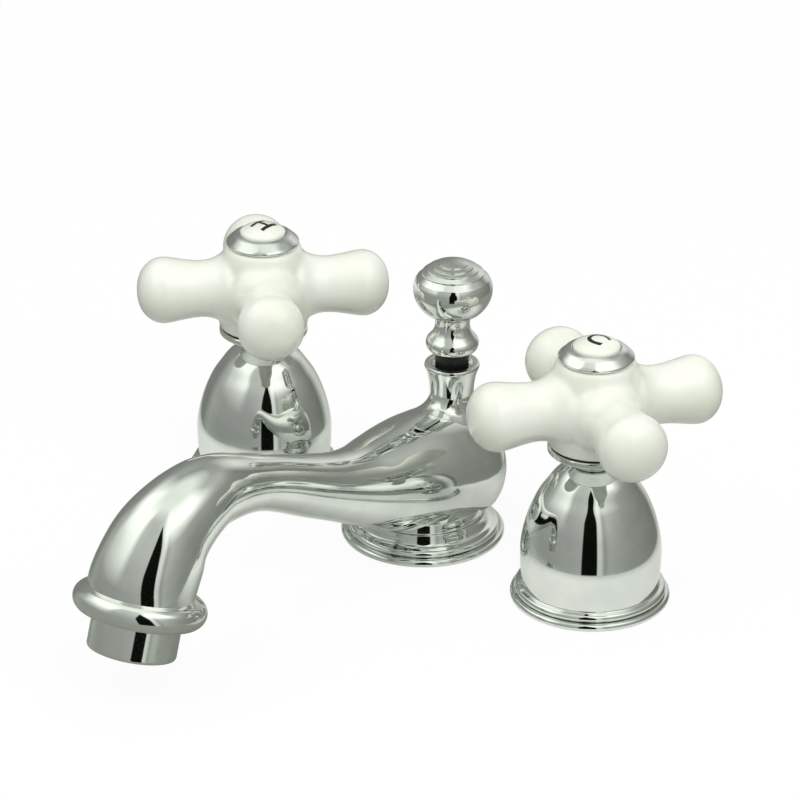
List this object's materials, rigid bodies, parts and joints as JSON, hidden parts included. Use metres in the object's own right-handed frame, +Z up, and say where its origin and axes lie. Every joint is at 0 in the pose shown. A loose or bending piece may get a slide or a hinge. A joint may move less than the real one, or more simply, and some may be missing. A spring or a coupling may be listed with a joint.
{
  "type": "widespread lavatory faucet",
  "caption": "Deck faucet with a swan spout, a lift knob and two domed valves, each turned by a white porcelain cross handle.",
  "frame": {"origin": "middle of the spout's base, on the top of the deck", "axes": "+Z up, square to the deck; +X from the hot valve to the cold valve; the spout reaches towards -Y"},
  "size_m": [0.1837, 0.1712, 0.153],
  "materials": {
    "chrome": "polished chrome plate",
    "brass": "machined brass",
    "rubber": "black rubber",
    "steel": "stainless steel",
    "disc_ceramic": "ground alumina",
    "porcelain": "white glaze",
    "plastic": "white acetal"
  },
  "bodies": {
    "root": {"aerator_insert": "plastic", "aerator_screen": "steel", "aerator_shell": "chrome", "aerator_washer": "rubber", "cold_bell": "chrome", "cold_bell_gasket": "rubber", "cold_cartridge_housing": "brass", "cold_deck_washer": "rubber", "cold_fixed_disc": "disc_ceramic", "cold_mounting_nut": "brass", "cold_outlet_nipple": "brass", "cold_plate_washer": "steel", "cold_seat_seal": "rubber", "cold_valve_body": "brass", "hot_bell": "chrome", "hot_bell_gasket": "rubber", "hot_cartridge_housing": "brass", "hot_deck_washer": "rubber", "hot_fixed_disc": "disc_ceramic", "hot_mounting_nut": "brass", "hot_outlet_nipple": "brass", "hot_plate_washer": "steel", "hot_seat_seal": "rubber", "hot_valve_body": "brass", "rod_bush": "plastic", "spout_body": "chrome", "spout_deck_washer": "rubber", "spout_flange": "chrome", "spout_gasket": "rubber", "spout_mounting_nut": "brass", "spout_plate_washer": "steel", "spout_shank": "brass"},
    "hot_handle": {"hot_cross": "porcelain", "hot_cushion_washer": "rubber", "hot_handle_screw": "steel", "hot_hub": "chrome", "hot_index_bezel": "chrome", "hot_index_button": "porcelain", "hot_moving_disc": "disc_ceramic", "hot_stem": "brass", "hot_stem_clip": "steel", "hot_stem_o_ring": "rubber"},
    "cold_handle": {"cold_cross": "porcelain", "cold_cushion_washer": "rubber", "cold_handle_screw": "steel", "cold_hub": "chrome", "cold_index_bezel": "chrome", "cold_index_button": "porcelain", "cold_moving_disc": "disc_ceramic", "cold_stem": "brass", "cold_stem_clip": "steel", "cold_stem_o_ring": "rubber"},
    "lift": {"lift_knob": "chrome", "lift_rod": "steel"}
  },
  "joints": [
    {"name": "hot_handle_turn", "type": "hinge", "parent": "root", "child": "hot_handle", "pos_m": [-0.0605, 0, 0.06], "axis": [0, 0, 1], "range_deg": [0, 90]},
    {"name": "cold_handle_turn", "type": "hinge", "parent": "root", "child": "cold_handle", "pos_m": [0.0605, 0, 0.06], "axis": [0, 0, 1], "range_deg": [-90, 0]},
    {"name": "lift_slide", "type": "slide", "parent": "root", "child": "lift", "axis": [0, 0, 1], "range_m": [0, 0.028]}
  ]
}
